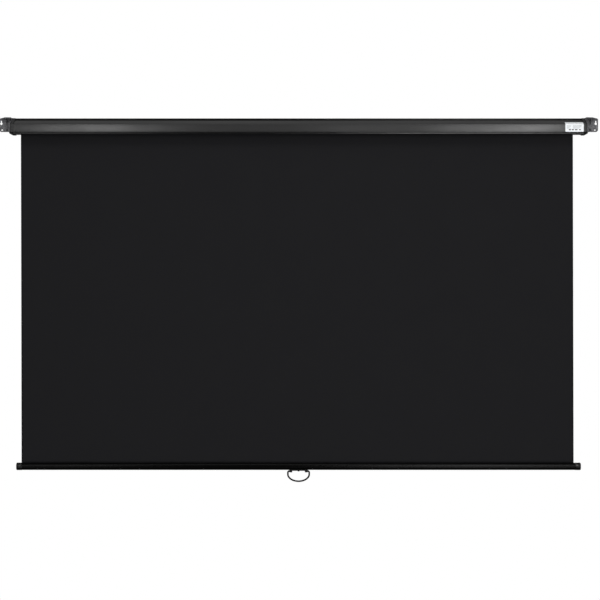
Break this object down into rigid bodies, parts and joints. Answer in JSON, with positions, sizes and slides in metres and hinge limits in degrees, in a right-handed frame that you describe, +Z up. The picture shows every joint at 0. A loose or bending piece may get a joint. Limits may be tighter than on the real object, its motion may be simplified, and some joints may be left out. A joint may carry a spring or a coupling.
{
  "type": "pull down projector screen",
  "caption": "Manual projector screen: a slotted housing with wall and ceiling brackets, a spring roller with pawls, a black sheet and a weight bar with a wire pull handle.",
  "frame": {"origin": "middle of the housing's flat back face, in the plane of the wall", "axes": "+X along the housing to the right of someone who looks at the screen, +Y into the wall, +Z up"},
  "size_m": [2.4746, 0.0685, 1.4994],
  "materials": {
    "case_paint": "satin black paint",
    "cap_plastic": "fine grain black",
    "bracket_paint": "dark grey powder coat",
    "label_paper": "white film label",
    "plain_steel": "bright zinc",
    "black_steel": "black zinc",
    "nylon": "natural nylon",
    "sheet_cloth": "matt black coated cloth",
    "bar_paint": "gloss black paint",
    "bar_plastic": "gloss black"
  },
  "bodies": {
    "housing": {"case_shell": "case_paint", "right_end_cap": "cap_plastic", "left_end_cap": "cap_plastic", "right_mount_bracket": "bracket_paint", "left_mount_bracket": "bracket_paint", "label": "label_paper", "right_upper_cap_screw": "black_steel", "right_lower_cap_screw": "black_steel", "left_upper_cap_screw": "black_steel", "left_lower_cap_screw": "black_steel", "right_hole_plug": "cap_plastic", "left_hole_plug": "cap_plastic", "pin_bush": "nylon", "tang_socket": "nylon", "spindle": "plain_steel", "ratchet_wheel": "plain_steel", "spring_collar": "nylon", "torsion_spring": "plain_steel", "screen_sheet": "sheet_cloth"},
    "roller": {"roller_tube": "plain_steel", "roller_wrap": "sheet_cloth", "pin_plug": "nylon", "gudgeon_pin": "plain_steel", "ratchet_plug": "nylon", "spring_anchor": "nylon", "upper_pawl_pin": "plain_steel", "lower_pawl_pin": "plain_steel"},
    "upper_pawl": {"upper_pawl": "plain_steel"},
    "lower_pawl": {"lower_pawl": "plain_steel"},
    "weight_bar": {"weight_bar": "bar_paint", "right_bar_cap": "bar_plastic", "left_bar_cap": "bar_plastic", "hem_rod": "plain_steel", "hem_sleeve": "sheet_cloth", "handle_saddle": "bar_plastic", "handle_screw": "black_steel"},
    "pull_handle": {"pull_handle": "black_steel"}
  },
  "joints": [
    {"name": "screen_drop", "type": "slide", "parent": "housing", "child": "weight_bar", "axis": [0, 0, 1], "range_m": [0, 1.35], "deforming": ["screen_sheet"]},
    {"name": "roller_spin", "type": "hinge", "parent": "housing", "child": "roller", "pos_m": [0, -0.031, -0.006], "axis": [1, 0, 0], "range_deg": [0, 3780]},
    {"name": "upper_pawl_swing", "type": "hinge", "parent": "roller", "child": "upper_pawl", "pos_m": [1.1414, -0.031, 0.0058], "axis": [1, 0, 0], "range_deg": [-12, 0]},
    {"name": "lower_pawl_swing", "type": "hinge", "parent": "roller", "child": "lower_pawl", "pos_m": [1.1414, -0.031, -0.0178], "axis": [1, 0, 0], "range_deg": [-12, 0]},
    {"name": "handle_swing", "type": "hinge", "parent": "weight_bar", "child": "pull_handle", "pos_m": [0, -0.01227, -1.4192], "axis": [1, 0, 0], "range_deg": [-85, 85]}
  ],
  "couplings": [
    {"joint": "roller_spin", "follows": "screen_drop", "rad_per_m": 48.869}
  ]
}
